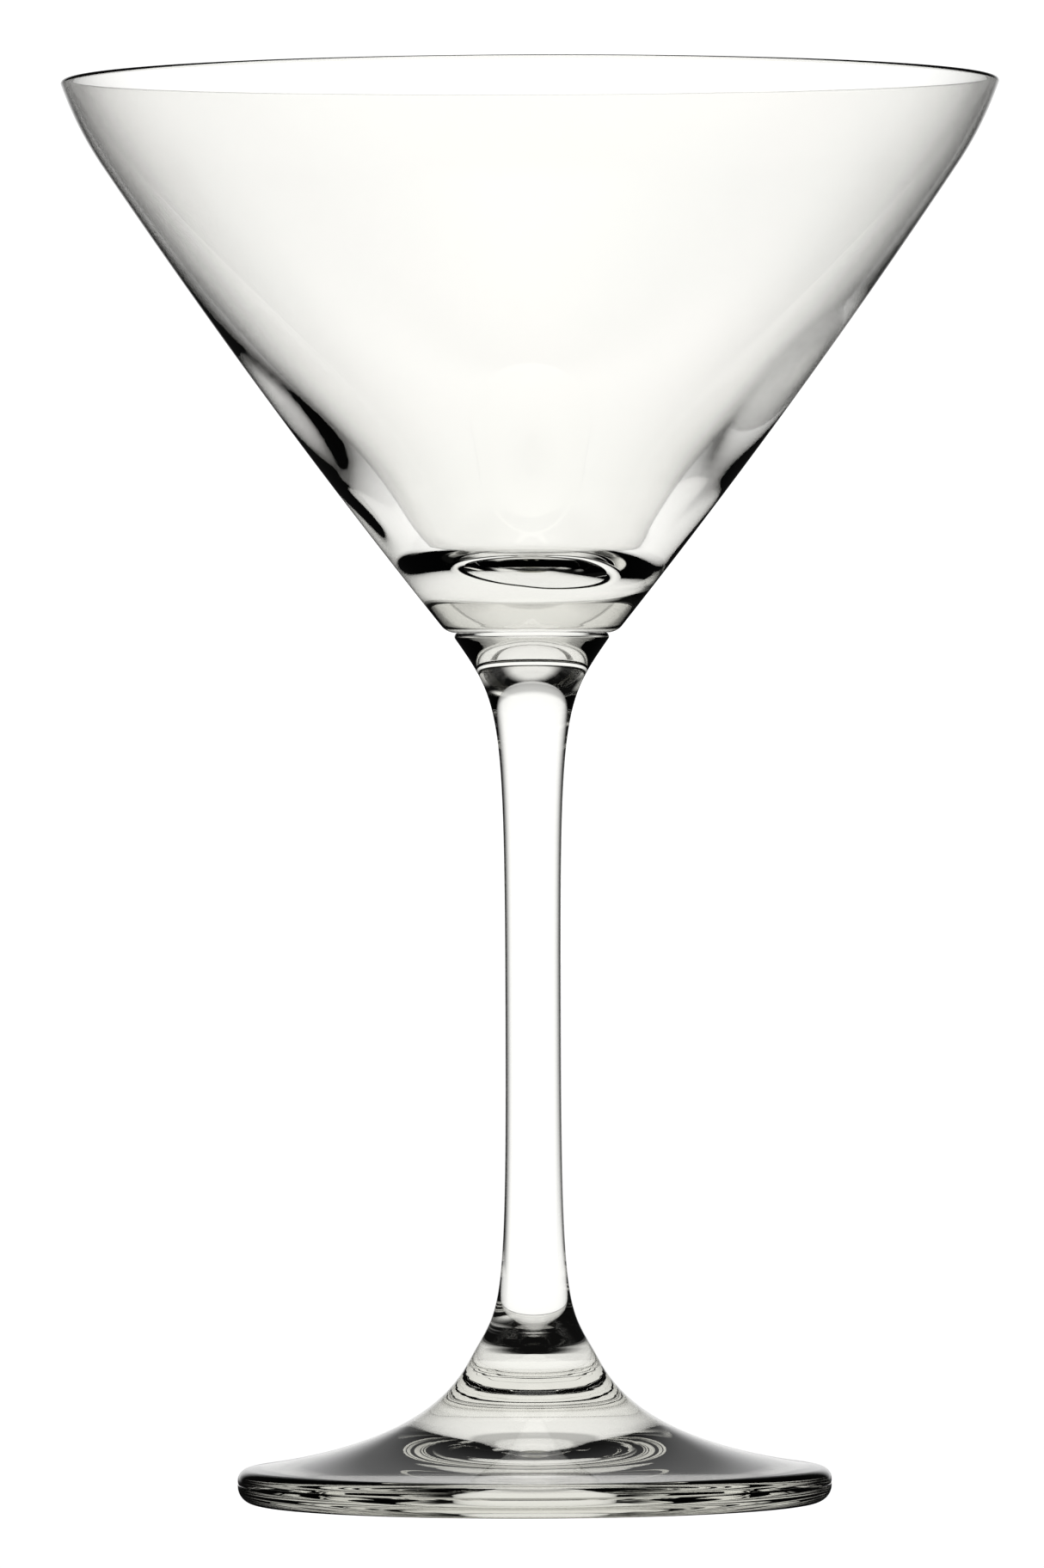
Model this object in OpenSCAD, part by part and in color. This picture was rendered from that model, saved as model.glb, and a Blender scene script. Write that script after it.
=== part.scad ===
// Martini glass in three fused pieces: a conical bowl, a drawn stem and a spun foot.
// Origin: centre of the plane that the foot stands on. +Z runs up the axis of the glass.

/* [Overall] */
// Height from the table to the top of the rim
height = 174.4; // [140:0.2:220]

/* [Bowl] */
// Height of the bowl, from its joint with the stem to the rim
bowl_h = 67.8; // [54:0.2:84]
// Outer diameter at the rim
rim_d = 115; // [90:0.5:140]
// Diameter at which the side of the bowl would meet its flat base
base_d = 20.8; // [20:0.1:28]
// Radius that rounds the side of the bowl into its base
base_round = 2.4; // [0.8:0.1:2.6]
// How many degrees the side bends inwards between the base and the lip
side_bend = 4.5; // [0:0.5:8]
// Height of the lip, the last stretch that turns more upright
lip_h = 10.4; // [6:0.2:16]
// How far the lip reaches out beyond the side below it
lip_reach = 5; // [3:0.1:8]
// Angle of the lip at the rim, from upright
lip_angle = 20; // [8:1:30]
// Thickness of the glass at the rim
wall_rim = 0.8; // [0.6:0.05:1.4]
// Thickness of the glass at the foot of the lip
wall_mid = 0.9; // [0.8:0.05:1.8]
// Thickness of the glass low on the side
wall_low = 4.8; // [3:0.1:6]
// Thickness of the solid glass under the middle of the hollow
floor_t = 7.8; // [5:0.1:10]
// How far the floor of the hollow rises from its middle to the foot of the straight side
floor_rise = 4.2; // [2:0.1:8]

/* [Stem] */
// Diameter of the head, where the stem takes the bowl
head_d = 19; // [16:0.1:20]
// Radius of the head's edge
head_round = 0.45; // [0.2:0.05:0.8]
// Angle at which the head flares out under the bowl, from upright
head_angle = 35; // [20:1:50]
// Smallest diameter of the stem
waist_d = 6.8; // [6:0.1:10]
// How far up the stem its waist lies, as a share of the stem's length
waist_at = 0.44; // [0.35:0.01:0.6]

/* [Foot] */
// Height of the foot, from the table to its joint with the stem
foot_h = 17.6; // [14:0.2:22]
// Diameter of the foot
foot_d = 72.8; // [58:0.2:88]
// Diameter of the neck, where the foot takes the stem
neck_d = 15.7; // [12:0.1:20]
// Angle at which the neck flares at that joint, from upright
neck_angle = 28; // [15:1:40]
// Thickness of the foot at its edge
edge_t = 4.25; // [3.6:0.05:6]
// Radius of the edge on the upper side
edge_top_round = 1.45; // [0.6:0.05:1.8]
// Radius of the edge on the lower side
edge_low_round = 2.1; // [0.6:0.05:2.4]
// Slope of the upper side just inside the edge
edge_slope = 8; // [4:0.5:14]
// Width of the flat ring that touches the table
rest_w = 1.2; // [0.8:0.1:4]
// How far the underside is hollowed out at its centre
kick = 4; // [0:0.1:6]

/* [Smoothness] */
// Straight steps in each long curve of an outline
curve_steps = 24; // [12:1:48]
// Straight steps in each small round of an outline
round_steps = 6; // [4:1:16]
// Steps round the axis in a preview
$fn = 144; // [48:12:288]

/* [Hidden] */
// Lengths of the hollow side's handles at the lip and low down, as shares of the side's length
hollow_top_share = 0.6;
hollow_low_share = 0.25;
// Lengths of the floor's handles at its side and at its middle, as shares of its radius
floor_side_share = 0.2;
floor_mid_share = 0.5;

rim_r = rim_d / 2;
foot_r = foot_d / 2;
neck_r = neck_d / 2;
head_r = head_d / 2;
waist_r = waist_d / 2;
bowl_z = height - bowl_h;
stem_h = bowl_z - foot_h;

// A direction at an angle from upright, leaning outwards, and the outward normal of a
// surface that runs that way
function lean(angle) = [sin(angle), cos(angle)];
function outward(angle) = [cos(angle), -sin(angle)];

// Points of a cubic curve from p to q that leaves along u and arrives along v
function curve(p, u, q, v) = [
    for (i = [0:curve_steps])
        let (t = i / curve_steps, s = 1 - t)
            s^3 * p + 3 * s^2 * t * (p + u) + 3 * s * t^2 * (q - v) + t^3 * q
];

// Points of a round about c, from angle a to angle b
function round_edge(c, r, a, b) = [
    for (i = [0:round_steps])
        let (angle = a + (b - a) * i / round_steps)
            c + r * [cos(angle), sin(angle)]
];

// ---- Bowl: the outline starts at the middle of its base and goes round by the rim ----

base_r = base_d / 2;
base_corner = [base_r, 0];
lip_start = [rim_r - lip_reach, bowl_h - lip_h];
side_chord = lip_start - base_corner;
side_mean = atan2(side_chord[0], side_chord[1]);
side_low_angle = side_mean + side_bend / 2;
side_top_angle = side_mean - side_bend / 2;
side_handle = norm(side_chord) / 3;
lip_handle = norm([lip_reach, lip_h]) / 3;

base_tangent = base_round * tan((90 - side_low_angle) / 2);
base_round_c = [base_r - base_tangent, base_round];
side_start = base_corner + base_tangent * lean(side_low_angle);
rim_round = wall_rim / 2;
rim_c = [rim_r - rim_round, bowl_h - rim_round];
lip_end = rim_c + rim_round * outward(lip_angle);

hollow_side = base_corner - wall_low * outward(side_low_angle);
hollow_corner = hollow_side
    + lean(side_low_angle) * (floor_t - hollow_side[1]) / cos(side_low_angle);
hollow_start = hollow_corner + lean(side_low_angle) * floor_rise / cos(side_low_angle);
hollow_lip = lip_start - wall_mid * outward(side_top_angle);
hollow_side_length = norm(hollow_lip - hollow_start);
hollow_end = rim_c - rim_round * outward(lip_angle);

module bowl_outline() {
    polygon(concat(
        [[0, 0]],
        round_edge(base_round_c, base_round, -90, -side_low_angle),
        curve(side_start, side_handle * lean(side_low_angle),
              lip_start, side_handle * lean(side_top_angle)),
        curve(lip_start, lip_handle * lean(side_top_angle),
              lip_end, lip_handle * lean(lip_angle)),
        round_edge(rim_c, rim_round, -lip_angle, 180 - lip_angle),
        curve(hollow_end, -lip_handle * lean(lip_angle),
              hollow_lip, -lip_handle * lean(side_top_angle)),
        curve(hollow_lip, -hollow_top_share * hollow_side_length * lean(side_top_angle),
              hollow_start, -hollow_low_share * hollow_side_length * lean(side_low_angle)),
        curve(hollow_start, -floor_side_share * hollow_start[0] * lean(side_low_angle),
              [0, floor_t], -floor_mid_share * hollow_start[0] * [1, 0])
    ));
}

module bowl() {
    color([0.93, 0.95, 0.94, 0.35])
        translate([0, 0, bowl_z])
            rotate_extrude()
                bowl_outline();
}

// ---- Stem: from its joint with the foot, through the waist, to its head ----

waist_z = stem_h * waist_at;
neck_handle = stem_h * 0.085;
waist_low_handle = waist_z * 0.9;
waist_high_handle = (stem_h - waist_z) * 0.81;
head_handle = (stem_h - waist_z) * 0.2;
head_c = [head_r - head_round, stem_h - head_round];
head_start = head_c + head_round * outward(head_angle);

module stem_outline() {
    polygon(concat(
        [[0, 0]],
        curve([neck_r, 0], -neck_handle * [sin(neck_angle), -cos(neck_angle)],
              [waist_r, waist_z], waist_low_handle * lean(0)),
        curve([waist_r, waist_z], waist_high_handle * lean(0),
              head_start, head_handle * lean(head_angle)),
        round_edge(head_c, head_round, -head_angle, 90),
        [[0, stem_h]]
    ));
}

module stem() {
    color([0.93, 0.95, 0.94, 0.35])
        translate([0, 0, foot_h])
            rotate_extrude()
                stem_outline();
}

// ---- Foot: hollowed underside, flat ring, rounded edge, and the sweep up to the neck ----

rest_out_r = foot_r - edge_low_round;
rest_in_r = rest_out_r - rest_w;
edge_low_c = [foot_r - edge_low_round, edge_low_round];
edge_top_c = [foot_r - edge_top_round, edge_t - edge_top_round];
sweep_start = edge_top_c + edge_top_round * [sin(edge_slope), cos(edge_slope)];
sweep_low_handle = (foot_r - neck_r) * 0.7;
sweep_high_handle = (foot_h - edge_t) * 0.38;
kick_handle = rest_in_r * 0.4;

module foot_outline() {
    polygon(concat(
        curve([0, kick], [kick_handle, 0], [rest_in_r, 0], [kick_handle, -kick_handle * kick / 24]),
        round_edge(edge_low_c, edge_low_round, -90, 0),
        round_edge(edge_top_c, edge_top_round, 0, 90 - edge_slope),
        curve(sweep_start, sweep_low_handle * [-cos(edge_slope), sin(edge_slope)],
              [neck_r, foot_h], sweep_high_handle * [-sin(neck_angle), cos(neck_angle)]),
        [[0, foot_h]]
    ));
}

module foot() {
    color([0.93, 0.95, 0.94, 0.35])
        rotate_extrude()
            foot_outline();
}

foot();
stem();
bowl();
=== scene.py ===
"""Martini glass: a conical bowl, a drawn stem and a spun foot, fused into one clear glass."""

import math

import bpy
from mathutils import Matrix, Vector


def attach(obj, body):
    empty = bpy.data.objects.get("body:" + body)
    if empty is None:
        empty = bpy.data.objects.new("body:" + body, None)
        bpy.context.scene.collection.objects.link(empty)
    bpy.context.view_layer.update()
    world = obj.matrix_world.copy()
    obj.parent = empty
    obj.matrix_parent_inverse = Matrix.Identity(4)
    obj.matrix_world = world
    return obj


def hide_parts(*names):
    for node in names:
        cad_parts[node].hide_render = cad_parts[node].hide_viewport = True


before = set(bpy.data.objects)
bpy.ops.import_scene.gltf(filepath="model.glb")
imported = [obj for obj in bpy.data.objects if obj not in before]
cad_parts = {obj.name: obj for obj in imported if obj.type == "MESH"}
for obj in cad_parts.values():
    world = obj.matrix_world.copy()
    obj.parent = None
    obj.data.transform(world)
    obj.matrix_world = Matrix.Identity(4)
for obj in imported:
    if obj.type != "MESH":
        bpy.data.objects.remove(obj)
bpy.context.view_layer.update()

MM = 0.001

# ---- Sizes in millimetres and degrees, the same as the CAD part ----

HEIGHT = 174.4
BOWL_H, RIM_D, BASE_D, BASE_ROUND = 67.8, 115.0, 20.8, 2.4
SIDE_BEND, LIP_H, LIP_REACH, LIP_ANGLE = 4.5, 10.4, 5.0, 20.0
WALL_RIM, WALL_MID, WALL_LOW = 0.8, 0.9, 4.8
FLOOR_T, FLOOR_RISE = 7.8, 4.2
HEAD_D, HEAD_ROUND, HEAD_ANGLE = 19.0, 0.45, 35.0
WAIST_D, WAIST_AT = 6.8, 0.44
FOOT_H, FOOT_D, NECK_D, NECK_ANGLE = 17.6, 72.8, 15.7, 28.0
EDGE_T, EDGE_TOP_ROUND, EDGE_LOW_ROUND, EDGE_SLOPE = 4.25, 1.45, 2.1, 8.0
REST_W, KICK = 1.2, 4.0

# Lengths of the curves' handles, as shares of the stretch that each one belongs to
HOLLOW_TOP_SHARE, HOLLOW_LOW_SHARE = 0.6, 0.25
FLOOR_SIDE_SHARE, FLOOR_MID_SHARE = 0.2, 0.5
NECK_SHARE, WAIST_LOW_SHARE, WAIST_HIGH_SHARE, HEAD_SHARE = 0.085, 0.9, 0.81, 0.2
SWEEP_LOW_SHARE, SWEEP_HIGH_SHARE, KICK_SHARE = 0.7, 0.38, 0.4
# Where the underside meets the ring it falls by its full depth over this run
KICK_RUN = 24.0

# The fine line that the mould's parting leaves round the foot's edge: its height, its depth,
# and how far above that height it is deepest and ends
PARTING_Z, PARTING_STEP, PARTING_LEDGE, PARTING_END = 2.3, 0.07, 0.08, 0.3

BOWL_Z = HEIGHT - BOWL_H
STEM_H = BOWL_Z - FOOT_H
RIM_R, BASE_R, HEAD_R, WAIST_R = RIM_D / 2, BASE_D / 2, HEAD_D / 2, WAIST_D / 2
FOOT_R, NECK_R = FOOT_D / 2, NECK_D / 2

# The flat discs where the pieces are fused: height and radius
HEAD_JOINT = (BOWL_Z, HEAD_R - HEAD_ROUND)
NECK_JOINT = (FOOT_H, NECK_R)

# How fine the turned skins are
TURNS = 240
CURVE_STEPS = 30
SHARP = math.radians(30)
# Points closer than this are one point
SAME_PLACE = 0.001 * MM
# The least upright share of the normal of a level face
LEVEL = 0.999


# ---- Outlines: chains of cubic curves in the plane of radius and height ----

def lean(angle):
    """A direction at an angle from upright, leaning outwards."""
    return Vector((math.sin(math.radians(angle)), math.cos(math.radians(angle))))


def outward(angle):
    """The outward normal of a surface that leans by this angle."""
    return Vector((math.cos(math.radians(angle)), -math.sin(math.radians(angle))))


def lines(*points):
    """Straight stretches from point to point."""
    stretches = []
    for start, end in zip(points, points[1:]):
        start, end = Vector(start), Vector(end)
        stretches.append((start, (end - start) / 3, end, (end - start) / 3))
    return stretches


def curve(start, leaving, end, arriving):
    """One curve, with the handles that it leaves and arrives along."""
    return [(Vector(start), Vector(leaving), Vector(end), Vector(arriving))]


def arc(centre, radius, start, end, parts=1):
    """A round about centre, from angle start to angle end."""
    step = math.radians(end - start) / parts
    reach = 4 / 3 * math.tan(step / 4) * radius

    def at(angle):
        """A point on the round, and the handle that runs on from it."""
        cos, sin = math.cos(angle), math.sin(angle)
        return Vector(centre) + radius * Vector((cos, sin)), Vector((-sin, cos)) * reach

    stretches = []
    for i in range(parts):
        angle = math.radians(start) + step * i
        stretches.append((*at(angle), *at(angle + step)))
    return stretches


def bowl_outline():
    """From the middle of the base, out and up the side, over the rim and down the hollow."""
    lip_start = Vector((RIM_R - LIP_REACH, BOWL_H - LIP_H))
    chord = lip_start - Vector((BASE_R, 0))
    mean = math.degrees(math.atan2(chord.x, chord.y))
    low, top = mean + SIDE_BEND / 2, mean - SIDE_BEND / 2
    side = chord.length / 3
    lip = math.hypot(LIP_REACH, LIP_H) / 3
    base_cut = BASE_ROUND * math.tan(math.radians((90 - low) / 2))
    base_c = Vector((BASE_R - base_cut, BASE_ROUND))
    side_start = Vector((BASE_R, 0)) + base_cut * lean(low)
    rim_round = WALL_RIM / 2
    rim_c = Vector((RIM_R - rim_round, BOWL_H - rim_round))
    lip_end = rim_c + rim_round * outward(LIP_ANGLE)
    hollow_side = Vector((BASE_R, 0)) - WALL_LOW * outward(low)
    hollow_corner = hollow_side + lean(low) * (FLOOR_T - hollow_side.y) / math.cos(math.radians(low))
    hollow_start = hollow_corner + lean(low) * FLOOR_RISE / math.cos(math.radians(low))
    hollow_lip = lip_start - WALL_MID * outward(top)
    inside = (hollow_lip - hollow_start).length
    hollow_end = rim_c - rim_round * outward(LIP_ANGLE)
    return (lines((0, 0), (HEAD_JOINT[1], 0), (BASE_R - base_cut, 0))
            + arc(base_c, BASE_ROUND, -90, -low)
            + curve(side_start, side * lean(low), lip_start, side * lean(top))
            + curve(lip_start, lip * lean(top), lip_end, lip * lean(LIP_ANGLE))
            + arc(rim_c, rim_round, -LIP_ANGLE, 180 - LIP_ANGLE, parts=2)
            + curve(hollow_end, -lip * lean(LIP_ANGLE), hollow_lip, -lip * lean(top))
            + curve(hollow_lip, -HOLLOW_TOP_SHARE * inside * lean(top),
                    hollow_start, -HOLLOW_LOW_SHARE * inside * lean(low))
            + curve(hollow_start, -FLOOR_SIDE_SHARE * hollow_start.x * lean(low),
                    (0, FLOOR_T), (-FLOOR_MID_SHARE * hollow_start.x, 0)))


def stem_outline():
    """From the joint with the foot, in to the waist and out to the head."""
    waist_z = STEM_H * WAIST_AT
    above = STEM_H - waist_z
    neck = Vector((math.sin(math.radians(NECK_ANGLE)), -math.cos(math.radians(NECK_ANGLE))))
    head_c = Vector((HEAD_R - HEAD_ROUND, STEM_H - HEAD_ROUND))
    head_start = head_c + HEAD_ROUND * outward(HEAD_ANGLE)
    waist = Vector((WAIST_R, waist_z))
    return (lines((0, 0), (NECK_R, 0))
            + curve((NECK_R, 0), -STEM_H * NECK_SHARE * neck,
                    waist, waist_z * WAIST_LOW_SHARE * lean(0))
            + curve(waist, above * WAIST_HIGH_SHARE * lean(0),
                    head_start, above * HEAD_SHARE * lean(HEAD_ANGLE))
            + arc(head_c, HEAD_ROUND, -HEAD_ANGLE, 90)
            + lines((head_c.x, STEM_H), (0, STEM_H)))


def foot_outline():
    """From the hollowed underside, over the ring and the edge, and up the sweep to the neck."""
    rest_out = FOOT_R - EDGE_LOW_ROUND
    rest_in = rest_out - REST_W
    reach = rest_in * KICK_SHARE
    slope, neck = math.radians(EDGE_SLOPE), math.radians(NECK_ANGLE)
    edge_top_c = Vector((FOOT_R - EDGE_TOP_ROUND, EDGE_T - EDGE_TOP_ROUND))
    sweep_start = edge_top_c + EDGE_TOP_ROUND * Vector((math.sin(slope), math.cos(slope)))
    sweep_low = (FOOT_R - NECK_R) * SWEEP_LOW_SHARE * Vector((-math.cos(slope), math.sin(slope)))
    sweep_high = (FOOT_H - EDGE_T) * SWEEP_HIGH_SHARE * Vector((-math.sin(neck), math.cos(neck)))
    return (curve((0, KICK), (reach, 0), (rest_in, 0), (reach, -reach * KICK / KICK_RUN))
            + lines((rest_in, 0), (rest_out, 0))
            + arc((rest_out, EDGE_LOW_ROUND), EDGE_LOW_ROUND, -90, 0)
            + lines((FOOT_R, EDGE_LOW_ROUND), (FOOT_R, PARTING_Z),
                    (FOOT_R - PARTING_STEP, PARTING_Z + PARTING_LEDGE),
                    (FOOT_R, PARTING_Z + PARTING_END), (FOOT_R, EDGE_T - EDGE_TOP_ROUND))
            + arc(edge_top_c, EDGE_TOP_ROUND, 0, 90 - EDGE_SLOPE)
            + curve(sweep_start, sweep_low, (NECK_R, FOOT_H), sweep_high)
            + lines((NECK_R, FOOT_H), (0, FOOT_H)))


# ---- Turning an outline into a closed shell of glass ----

def deselect_all():
    if bpy.context.object and bpy.context.object.mode != "OBJECT":
        bpy.ops.object.mode_set(mode="OBJECT")
    bpy.ops.object.select_all(action="DESELECT")


def draw(name, outline, lift):
    """The outline, lifted to its height, as a mesh line that stands in the XZ plane."""
    deselect_all()
    bpy.ops.curve.primitive_bezier_curve_add(radius=MM, location=(0, 0, 0))
    piece = bpy.context.object
    piece.name = name
    piece.data.resolution_u = CURVE_STEPS
    piece.data.dimensions = "3D"
    knots = piece.data.splines[0].bezier_points
    knots.add(len(outline) + 1 - len(knots))
    for knot in knots:
        knot.handle_left_type = knot.handle_right_type = "FREE"

    def place(point):
        return Vector((point.x * MM, 0, (point.y + lift) * MM))

    for i, (start, leaving, end, arriving) in enumerate(outline):
        knots[i].co = place(start)
        knots[i].handle_right = place(start + leaving)
        knots[i + 1].co = place(end)
        knots[i + 1].handle_left = place(end - arriving)
    knots[0].handle_left = knots[0].co
    knots[-1].handle_right = knots[-1].co
    bpy.ops.object.convert(target="MESH")
    return bpy.context.object


def turn():
    """Spins the drawn outline about the axis into one closed skin."""
    bpy.ops.object.mode_set(mode="EDIT")
    bpy.ops.mesh.select_mode(type="VERT")
    bpy.ops.mesh.select_all(action="SELECT")
    bpy.ops.mesh.remove_doubles(threshold=SAME_PLACE)
    bpy.ops.mesh.spin(steps=TURNS, angle=2 * math.pi, center=(0, 0, 0), axis=(0, 0, 1))
    bpy.ops.mesh.select_all(action="SELECT")
    bpy.ops.mesh.remove_doubles(threshold=2 * SAME_PLACE)
    bpy.ops.mesh.normals_make_consistent(inside=False)
    bpy.ops.object.mode_set(mode="OBJECT")
    bpy.ops.object.shade_smooth_by_angle(angle=SHARP)


def open_joint(piece, z, radius):
    """Gives the flat disc at a joint the second finish, of glass that runs straight on."""
    for face in piece.data.polygons:
        at = face.center
        if (abs(at.z - z * MM) < SAME_PLACE and math.hypot(at.x, at.y) < radius * MM
                and abs(face.normal.z) > LEVEL):
            face.material_index = 1


def make(name, outline, lift, glass, joints):
    """A turned piece of glass, fused to its neighbours at these joints."""
    piece = draw(name, outline, lift)
    turn()
    piece.data.materials.clear()
    piece.data.materials.append(glass)
    piece.data.materials.append(fused_joint)
    for z, radius in joints:
        open_joint(piece, z, radius)
    return piece


# ---- Hand work: glass shaped hot is never quite even ----

# Faces of the hollow look up by more than this share, out by less, and lie this far above the base
HOLLOW_UP, HOLLOW_OUT, HOLLOW_ABOVE = 0.2, 0.2, 4

# Where the hollow is pushed, by how much, and how far round it fades out: a thick place low on
# the left, a smaller one on the right, and a floor that dips to the right
HOLLOW_PUSHES = [
    ((-24, 0, BOWL_Z + 30), (-0.35, 0, 0), 12),
    ((-16, 0, BOWL_Z + 17), (0.35, 0, 0), 6),
    ((28, 0, BOWL_Z + 31), (0.75, 0, -0.3), 16),
    ((15, 0, BOWL_Z + 16), (0.3, 0, 0), 6),
    ((-9, 0, BOWL_Z + 8), (0, 0, 0.4), 11),
    ((9, 0, BOWL_Z + 8), (0, 0, -0.45), 11)]


def in_hollow(face):
    """A face of the hollow's skin: it looks upwards and not outwards."""
    at, normal = face.center, face.normal
    facing_out = (normal.x * at.x + normal.y * at.y) / max(math.hypot(at.x, at.y), 1e-9)
    return (normal.z > HOLLOW_UP and facing_out < HOLLOW_OUT
            and at.z > (BOWL_Z + HOLLOW_ABOVE) * MM)


def ease(piece, belongs, pushes):
    """Eases one skin of a piece: each push moves a place and fades out over its reach."""
    deselect_all()
    bpy.context.view_layer.objects.active = piece
    piece.select_set(True)
    bpy.ops.object.mode_set(mode="EDIT")
    bpy.ops.mesh.select_mode(type="FACE")
    bpy.ops.mesh.select_all(action="DESELECT")
    bpy.ops.object.mode_set(mode="OBJECT")
    for face in piece.data.polygons:
        face.select = belongs(face)
    bpy.ops.object.mode_set(mode="EDIT")
    bpy.ops.mesh.hide(unselected=True)
    bpy.ops.mesh.select_mode(type="VERT")
    for at, push, reach in pushes:
        at = Vector(at) * MM
        bpy.ops.mesh.select_all(action="DESELECT")
        bpy.ops.object.mode_set(mode="OBJECT")
        shown = [vertex for vertex in piece.data.vertices if not vertex.hide]
        min(shown, key=lambda vertex: (vertex.co - at).length).select = True
        bpy.ops.object.mode_set(mode="EDIT")
        bpy.ops.transform.translate(
            value=Vector(push) * MM, use_proportional_edit=True,
            proportional_edit_falloff="SMOOTH", proportional_size=reach * MM)
    bpy.ops.mesh.reveal(select=False)
    bpy.ops.object.mode_set(mode="OBJECT")


# ---- Nodes ----

def add_node(tree, kind, inputs, **settings):
    """A node with its settings; each named or numbered input gets a value or another's output."""
    node = tree.nodes.new(kind)
    for setting, value in settings.items():
        setattr(node, setting, value)
    for socket, value in inputs.items():
        if isinstance(value, bpy.types.NodeSocket):
            tree.links.new(value, node.inputs[socket])
        else:
            node.inputs[socket].default_value = value
    return node


def calculate(tree, operation, *values):
    return add_node(tree, "ShaderNodeMath", dict(enumerate(values)), operation=operation).outputs[0]


def fade(tree, value, start, end, at_start, at_end):
    """Eases from at_start to at_end while the value goes from start to end."""
    return add_node(tree, "ShaderNodeMapRange",
                    {"Value": value, "From Min": start, "From Max": end,
                     "To Min": at_start, "To Max": at_end},
                    interpolation_type="SMOOTHSTEP").outputs["Result"]


def blend(tree, share, first, second):
    return add_node(tree, "ShaderNodeMix",
                    {"Factor": share, "A": first, "B": second}).outputs["Result"]


def noise(tree, vector, scale, detail, rough=0.5):
    return add_node(tree, "ShaderNodeTexNoise",
                    {"Vector": vector, "Scale": scale, "Detail": detail,
                     "Roughness": rough}).outputs["Fac"]


def ramp(tree, value, *stops):
    """A colour that runs between two stops, each a position and a colour."""
    node = add_node(tree, "ShaderNodeValToRGB", {"Fac": value})
    for element, (position, colour) in zip(node.color_ramp.elements, stops):
        element.position = position
        element.color = colour
    return node.outputs["Color"]


# ---- Finishes ----

GLASS_IOR = 1.52
# What the body of the glass swallows: the colour that it lets pass, and how fast
BODY_COLOUR, BODY_DENSITY = (0.2, 0.19, 0.06, 1), 10
# Painted shade: the skin's colour darkens where the skin is seen at a glancing angle, standing in
# for the dark edges of the glass
FACING, GLANCING_PAINTED_SHADE = (0.04, (1.0, 0.996, 0.985, 1)), (0.6, (0.16, 0.157, 0.15, 1))
# The trace of colour that drifts over the skin, and the scale of its drift
COOL, WARM = (0.35, (0.985, 0.99, 0.982, 1)), (0.65, (1.0, 0.998, 0.992, 1))
DRIFT_SCALE = 25
# The stretch of the smudges' noise over which they come up
SMUDGES_FROM, SMUDGES_TO = 0.56, 0.78
# The height over which the rings start and stop
RINGS_EASE = 1 * MM


def new_material(name):
    material = bpy.data.materials.new(name)
    material.use_nodes = True
    material.node_tree.nodes.clear()
    return material, material.node_tree


def glass_surface():
    """A hand-made surface: slow sways, faint lathe rings, smudges and a trace of colour."""
    tree = bpy.data.node_groups.new("glass surface", "ShaderNodeTree")
    for label, kind, value in (("Position", "Vector", (0, 0, 0)), ("Stretch", "Vector", (1, 1, 1)),
                               ("Sway Scale", "Float", 60), ("Ring Scale", "Float", 400),
                               ("Ring Share", "Float", 0.2), ("Rings From", "Float", 0),
                               ("Rings To", "Float", 0.2), ("Smudge Scale", "Float", 45),
                               ("Smudge", "Float", 0.02)):
        socket = tree.interface.new_socket(label, in_out="INPUT", socket_type="NodeSocket" + kind)
        socket.default_value = value
    for label, kind in (("Height", "Float"), ("Roughness", "Float"), ("Tint", "Color")):
        tree.interface.new_socket(label, in_out="OUTPUT", socket_type="NodeSocket" + kind)
    given = add_node(tree, "NodeGroupInput", {}).outputs
    place = given["Position"]

    stretched = add_node(tree, "ShaderNodeVectorMath", {0: place, 1: given["Stretch"]},
                         operation="MULTIPLY").outputs[0]
    sways = noise(tree, stretched, given["Sway Scale"], 2)

    # Rings: the same noise all the way round, read by radius and height
    level = add_node(tree, "ShaderNodeVectorMath", {0: place, 1: (1, 1, 0)},
                     operation="MULTIPLY").outputs[0]
    radius = add_node(tree, "ShaderNodeVectorMath", {0: level}, operation="LENGTH").outputs["Value"]
    z = add_node(tree, "ShaderNodeSeparateXYZ", {0: place}).outputs["Z"]
    profile = add_node(tree, "ShaderNodeCombineXYZ", {"X": radius, "Z": z}).outputs[0]
    rings = noise(tree, profile, given["Ring Scale"], 2)
    for start, below, above in ((given["Rings From"], 0, 1), (given["Rings To"], 1, 0)):
        end = calculate(tree, "ADD", start, RINGS_EASE)
        rings = calculate(tree, "MULTIPLY", rings, fade(tree, z, start, end, below, above))

    smudges = noise(tree, place, given["Smudge Scale"], 4, 0.6)
    drift = noise(tree, place, DRIFT_SCALE, 2)
    add_node(tree, "NodeGroupOutput",
             {"Height": blend(tree, given["Ring Share"], sways, rings),
              "Roughness": fade(tree, smudges, SMUDGES_FROM, SMUDGES_TO, 0, given["Smudge"]),
              "Tint": ramp(tree, drift, COOL, WARM)})
    return tree


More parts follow.
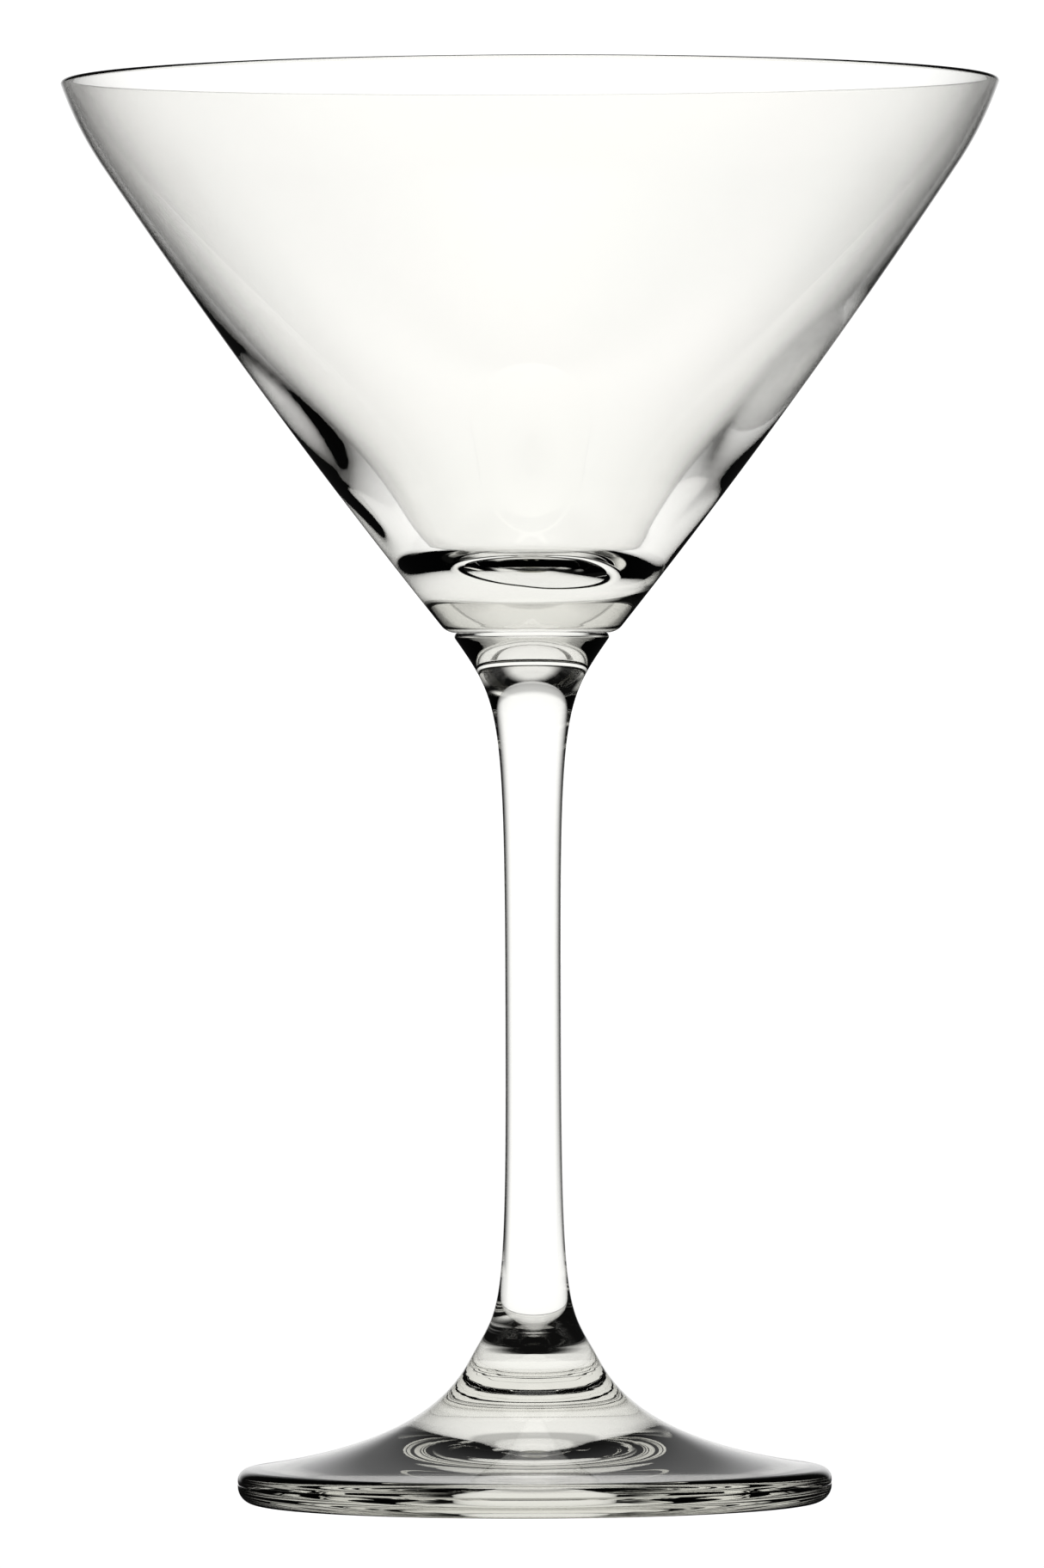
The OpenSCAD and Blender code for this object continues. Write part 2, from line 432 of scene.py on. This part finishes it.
def clear_glass(name, stretch, sway_scale, ring_scale, ring_share, rings_from, rings_to, depth,
                smudge=0.02):
    """Clear glass; depth is how far its sways and rings stand out, in millimetres."""
    material, tree = new_material(name)
    place = add_node(tree, "ShaderNodeTexCoord", {}).outputs["Object"]
    surface = add_node(tree, "ShaderNodeGroup", {}, node_tree=surface_group)
    for label, value in (("Stretch", stretch), ("Sway Scale", sway_scale),
                         ("Ring Scale", ring_scale), ("Ring Share", ring_share),
                         ("Rings From", rings_from * MM), ("Rings To", rings_to * MM),
                         ("Smudge", smudge)):
        surface.inputs[label].default_value = value
    tree.links.new(place, surface.inputs["Position"])
    bump = add_node(tree, "ShaderNodeBump",
                    {"Strength": 1, "Distance": depth * MM, "Height": surface.outputs["Height"]})
    glancing = add_node(tree, "ShaderNodeFresnel", {"IOR": GLASS_IOR}).outputs["Fac"]
    # Painted shade: the base colour runs from near white where the skin faces the view to dark grey
    # where it is seen at a glancing angle, then takes on the drifting tint
    colour = add_node(tree, "ShaderNodeMix",
                      {"Factor": 1, "A": ramp(tree, glancing, FACING, GLANCING_PAINTED_SHADE),
                       "B": surface.outputs["Tint"]},
                      data_type="RGBA", blend_type="MULTIPLY").outputs["Result"]
    skin = add_node(tree, "ShaderNodeBsdfPrincipled",
                    {"Base Color": colour, "Roughness": surface.outputs["Roughness"],
                     "Normal": bump.outputs["Normal"], "Metallic": 0, "IOR": GLASS_IOR,
                     "Transmission Weight": 1})
    body = add_node(tree, "ShaderNodeVolumeAbsorption",
                    {"Color": BODY_COLOUR, "Density": BODY_DENSITY})
    add_node(tree, "ShaderNodeOutputMaterial",
             {"Surface": skin.outputs["BSDF"], "Volume": body.outputs["Volume"]})
    return material


def fused_glass():
    """Nothing to see: where two pieces are fused the glass runs straight on."""
    material, tree = new_material("fused joint")
    clear = add_node(tree, "ShaderNodeBsdfPrincipled", {"Alpha": 0})
    add_node(tree, "ShaderNodeOutputMaterial", {"Surface": clear.outputs["BSDF"]})
    return material


# ---- The glass ----

surface_group = glass_surface()
fused_joint = fused_glass()

bowl_glass = clear_glass("bowl glass", stretch=(1, 1, 0.7), sway_scale=40, ring_scale=500,
                         ring_share=0.04, rings_from=0, rings_to=HEIGHT, depth=0.018)
bowl = make("bowl_of_clear_glass", bowl_outline(), BOWL_Z, bowl_glass, [HEAD_JOINT])

# The rings are strongest in the neck and end just above its joint
stem_glass = clear_glass("stem glass", stretch=(1, 1, 0.1), sway_scale=250, ring_scale=550,
                         ring_share=0.9, rings_from=0, rings_to=FOOT_H + 1.2, depth=0.05,
                         smudge=0.01)
stem = make("stem_of_clear_glass", stem_outline(), FOOT_H, stem_glass, [HEAD_JOINT, NECK_JOINT])

foot_glass = clear_glass("foot glass", stretch=(1, 1, 1), sway_scale=60, ring_scale=550,
                         ring_share=0.95, rings_from=FOOT_H - 5, rings_to=FOOT_H + 1.2, depth=0.05)
foot = make("foot_of_clear_glass", foot_outline(), 0, foot_glass, [NECK_JOINT])

ease(bowl, in_hollow, HOLLOW_PUSHES)

for piece, node in ((bowl, "bowl"), (stem, "stem"), (foot, "foot")):
    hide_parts(node)
    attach(piece, "root")


# ---- Studio ----

# Everything here is in degrees: bearings from straight behind the glass, positive to the right,
# and heights above the level

# The backdrop: the bearings and the heights between which it fades
BACKDROP_SIDE, BACKDROP_DIMS, BACKDROP_AGAIN = (36, 74), (27, 33), (38, 46)
BACKDROP_DIMMED = 0.6
TABLE_SIDE, TABLE_END, TABLE_LIGHT = (60, 95), (-14, -6), 0.9
OVERHEAD_EDGE, OVERHEAD_LIGHT = (60, 75), 0.9
# Round windows: bearing, height, half their width, and the soft band round them
WINDOWS = ((-90, -3, 8, 16), (-45, -25, 16, 20), (135, -15, 12, 20))
# The narrow panel that the outside mirrors, and what is left of it higher up
PANEL_SIDE, PANEL_FOOT, PANEL_HIGHER, PANEL_HIGHEST = (7, 22), (-4, 1), (8, 20), (20, 45)
HIGHER_LEFT, HIGHEST_LEFT = 0.33, 0.1
# Light, and least light, of what shows through the glass and of what it mirrors
THROUGH_LIGHT, MIRRORED_LIGHT = (1.25, 0.006), (0.95, 0.01)
BEHIND_LIGHT = 1.15


def build_studio():
    """A wide pale backdrop to look through, and a dark room with one narrow panel to mirror."""
    world = bpy.data.worlds.new("studio")
    bpy.context.scene.world = world
    world.use_nodes = True
    tree = world.node_tree
    tree.nodes.clear()

    def times(first, second):
        return calculate(tree, "MULTIPLY", first, second)

    def brighter(first, second):
        return calculate(tree, "MAXIMUM", first, second)

    direction = add_node(tree, "ShaderNodeTexCoord", {}).outputs["Generated"]
    x, y, z = add_node(tree, "ShaderNodeSeparateXYZ", {0: direction}).outputs
    bearing = times(calculate(tree, "ARCTAN2", x, y), 180 / math.pi)
    up = times(calculate(tree, "ARCSINE", z), 180 / math.pi)
    aside = calculate(tree, "ABSOLUTE", bearing)

    inner, outer = BACKDROP_SIDE
    backdrop = times(fade(tree, bearing, -outer, -inner, 0, 1),
                     fade(tree, bearing, inner, outer, 1, 0))
    light = brighter(times(backdrop, fade(tree, up, *BACKDROP_DIMS, 1, BACKDROP_DIMMED)),
                     times(backdrop, fade(tree, up, *BACKDROP_AGAIN, 0, 1)))
    light = brighter(light, times(fade(tree, aside, *TABLE_SIDE, 1, 0),
                                  fade(tree, up, *TABLE_END, TABLE_LIGHT, 0)))
    light = brighter(light, times(fade(tree, up, *OVERHEAD_EDGE, 0, 1), OVERHEAD_LIGHT))
    for az, el, wide, soft in WINDOWS:
        az, el = math.radians(az), math.radians(el)
        toward = Vector((math.sin(az) * math.cos(el), math.cos(az) * math.cos(el), math.sin(el)))
        near = add_node(tree, "ShaderNodeVectorMath", {0: direction, 1: toward},
                        operation="DOT_PRODUCT").outputs["Value"]
        angle = times(calculate(tree, "ARCCOSINE", near), 180 / math.pi)
        light = brighter(light, fade(tree, angle, wide, wide + soft, 1, 0))
    through = calculate(tree, "MULTIPLY_ADD", light, *THROUGH_LIGHT)

    panel = times(fade(tree, aside, *PANEL_SIDE, 1, 0), fade(tree, up, *PANEL_FOOT, 0, 1))
    panel = times(panel, fade(tree, up, *PANEL_HIGHER, 1, HIGHER_LEFT))
    panel = times(panel, fade(tree, up, *PANEL_HIGHEST, 1, HIGHEST_LEFT))
    mirrored = calculate(tree, "MULTIPLY_ADD", panel, *MIRRORED_LIGHT)

    path = add_node(tree, "ShaderNodeLightPath", {}).outputs
    seen = blend(tree, path["Is Transmission Ray"], mirrored, through)
    seen = blend(tree, path["Is Camera Ray"], seen, BEHIND_LIGHT)
    background = add_node(tree, "ShaderNodeBackground", {"Color": (1, 1, 1, 1), "Strength": seen})
    add_node(tree, "ShaderNodeOutputWorld", {"Surface": background.outputs["Background"]})


def build_floor():
    """A pale floor that lights nothing and is in no reflection."""
    deselect_all()
    bpy.ops.mesh.primitive_plane_add(size=8, location=(0, 0, 0))
    floor = bpy.context.object
    floor.name = "pale_floor"
    material, tree = new_material("pale floor")
    paint = add_node(tree, "ShaderNodeBsdfPrincipled",
                     {"Base Color": (0.9, 0.9, 0.9, 1), "Roughness": 0.9,
                      "Emission Color": (1, 1, 1, 1), "Emission Strength": 1})
    add_node(tree, "ShaderNodeOutputMaterial", {"Surface": paint.outputs["BSDF"]})
    floor.data.materials.append(material)
    floor.visible_diffuse = False
    floor.visible_glossy = False
    floor.visible_transmission = False
    floor.visible_shadow = False


# The camera stands in front, a little left of the axis, looks slightly down and leans a little
CAMERA_PLACE, CAMERA_DOWN, CAMERA_LEAN = (-1.25, -1568, 92), 0.144, 0.2
CAMERA_LENS, CAMERA_SENSOR = 293.6, 36


def set_camera():
    data = bpy.data.cameras.new("camera")
    camera = bpy.data.objects.new("camera", data)
    bpy.context.scene.collection.objects.link(camera)
    data.sensor_width = CAMERA_SENSOR
    data.lens = CAMERA_LENS
    data.clip_start = 0.05
    data.dof.use_dof = False
    camera.location = Vector(CAMERA_PLACE) * MM
    camera.rotation_mode = "XYZ"
    camera.rotation_euler = (math.radians(90 - CAMERA_DOWN), math.radians(CAMERA_LEAN), 0)
    bpy.context.scene.camera = camera


build_studio()
build_floor()
set_camera()
bpy.context.scene.view_settings.view_transform = "Standard"
